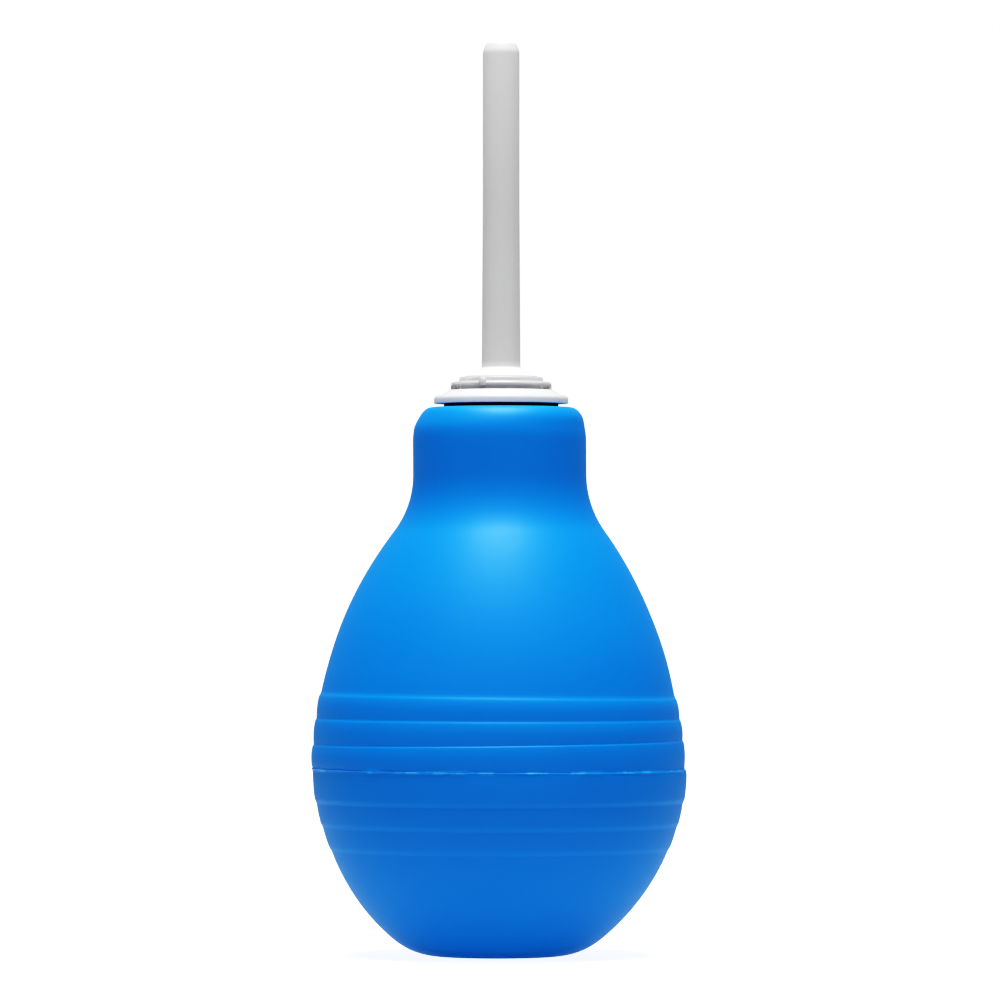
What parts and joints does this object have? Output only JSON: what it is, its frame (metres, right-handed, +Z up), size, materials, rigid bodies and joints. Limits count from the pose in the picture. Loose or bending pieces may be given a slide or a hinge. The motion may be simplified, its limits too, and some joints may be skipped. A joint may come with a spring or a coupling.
{
  "type": "bulb syringe",
  "caption": "Squeeze-bulb syringe with a ribbed soft bulb, flanged one-way valve plug, clear valve cap and long straight pull-off nozzle.",
  "frame": {"origin": "centre of the flat foot of the bulb, on the surface that the bulb stands on", "axes": "+Z up along the common axis of bulb, plug and nozzle, towards the nozzle tip; the object is turned about Z"},
  "size_m": [0.0803, 0.0802, 0.196],
  "materials": {
    "bulb_pvc": "satin soft PVC",
    "white_plastic": "polished injection moulding",
    "nozzle_plastic": "satin injection moulding",
    "clear_plastic": "clear polished plastic",
    "black_rubber": "satin",
    "silicone": "translucent satin"
  },
  "bodies": {
    "bulb": {"bulb": "bulb_pvc"},
    "plug": {"neck_plug": "white_plastic", "valve_body": "white_plastic", "neck_gasket": "black_rubber", "valve_cage": "white_plastic", "cap_seal": "silicone", "valve_cap": "clear_plastic"},
    "outlet_valve": {"outlet_valve": "silicone"},
    "inlet_valve": {"inlet_valve": "silicone"},
    "nozzle": {"nozzle": "nozzle_plastic", "nozzle_o_ring": "black_rubber"}
  },
  "joints": [
    {"name": "plug_pull", "type": "slide", "parent": "bulb", "child": "plug", "axis": [0, 0, 1], "range_m": [0, 0.04]},
    {"name": "nozzle_pull", "type": "slide", "parent": "plug", "child": "nozzle", "axis": [0, 0, 1], "range_m": [0, 0.015]},
    {"name": "outlet_valve_lift", "type": "slide", "parent": "plug", "child": "outlet_valve", "axis": [0, 0, 1], "range_m": [0, 0.00105]},
    {"name": "inlet_valve_drop", "type": "slide", "parent": "plug", "child": "inlet_valve", "axis": [0, 0, -1], "range_m": [0, 0.00093]}
  ]
}
